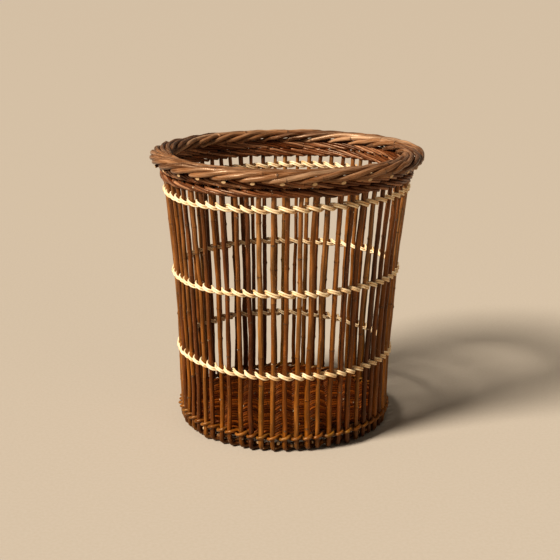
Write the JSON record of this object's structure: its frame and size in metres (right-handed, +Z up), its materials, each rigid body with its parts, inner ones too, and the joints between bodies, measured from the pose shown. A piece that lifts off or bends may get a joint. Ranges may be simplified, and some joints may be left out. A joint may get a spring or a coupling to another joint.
{
  "type": "wastebasket",
  "caption": "Round willow wastebasket with an open wall of upright rods, white twined bands, a thick rolled rim and a woven base.",
  "frame": {"origin": "on the floor, under the middle of the base", "axes": "+Z up, along the basket's axis of roundness; -Y is the front, though the basket looks nearly the same all round"},
  "size_m": [0.2914, 0.2924, 0.301],
  "materials": {
    "brown_willow": "natural bark, satin",
    "brown_willow_thin": "natural bark, satin",
    "red_brown_willow": "natural bark, satin",
    "white_willow": "peeled wood, satin",
    "dark_willow": "natural bark, matt"
  },
  "bodies": {
    "root": {"upright_pair_01": "brown_willow", "upright_pair_02": "brown_willow", "upright_pair_03": "brown_willow", "upright_pair_04": "brown_willow", "upright_pair_05": "brown_willow", "upright_pair_06": "brown_willow", "upright_pair_07": "brown_willow", "upright_pair_08": "brown_willow", "upright_pair_09": "brown_willow", "upright_pair_10": "brown_willow", "upright_pair_11": "brown_willow", "upright_pair_12": "brown_willow", "upright_pair_13": "brown_willow", "upright_pair_14": "brown_willow", "upright_pair_15": "brown_willow", "upright_pair_16": "brown_willow", "upright_pair_17": "brown_willow", "upright_pair_18": "brown_willow", "upright_pair_19": "brown_willow", "upright_pair_20": "brown_willow", "upright_pair_21": "brown_willow", "upright_pair_22": "brown_willow", "upright_pair_23": "brown_willow", "upright_pair_24": "brown_willow", "upright_pair_25": "brown_willow", "upright_pair_26": "brown_willow", "upright_pair_27": "brown_willow", "upright_pair_28": "brown_willow", "upright_pair_29": "brown_willow", "upright_pair_30": "brown_willow", "fitch_low_strand_1": "white_willow", "fitch_low_strand_2": "white_willow", "fitch_middle_strand_1": "white_willow", "fitch_middle_strand_2": "white_willow", "fitch_top_strand_1": "white_willow", "fitch_top_strand_2": "white_willow", "foot_pairing_strand_1": "brown_willow_thin", "foot_pairing_strand_2": "brown_willow_thin", "waling_lower_rod_1": "red_brown_willow", "waling_lower_rod_2": "red_brown_willow", "waling_lower_rod_3": "red_brown_willow", "waling_lower_rod_4": "red_brown_willow", "waling_upper_rod_1": "red_brown_willow", "waling_upper_rod_2": "red_brown_willow", "waling_upper_rod_3": "red_brown_willow", "waling_upper_rod_4": "red_brown_willow", "base_stick_01": "dark_willow", "base_stick_02": "dark_willow", "base_stick_03": "dark_willow", "base_stick_04": "dark_willow", "base_stick_05": "dark_willow", "base_stick_06": "dark_willow", "base_stick_07": "dark_willow", "base_stick_08": "dark_willow", "base_stick_09": "dark_willow", "base_stick_10": "dark_willow", "base_stick_11": "dark_willow", "base_weave_lower": "dark_willow", "base_weave_upper": "dark_willow"}
  },
  "joints": []
}
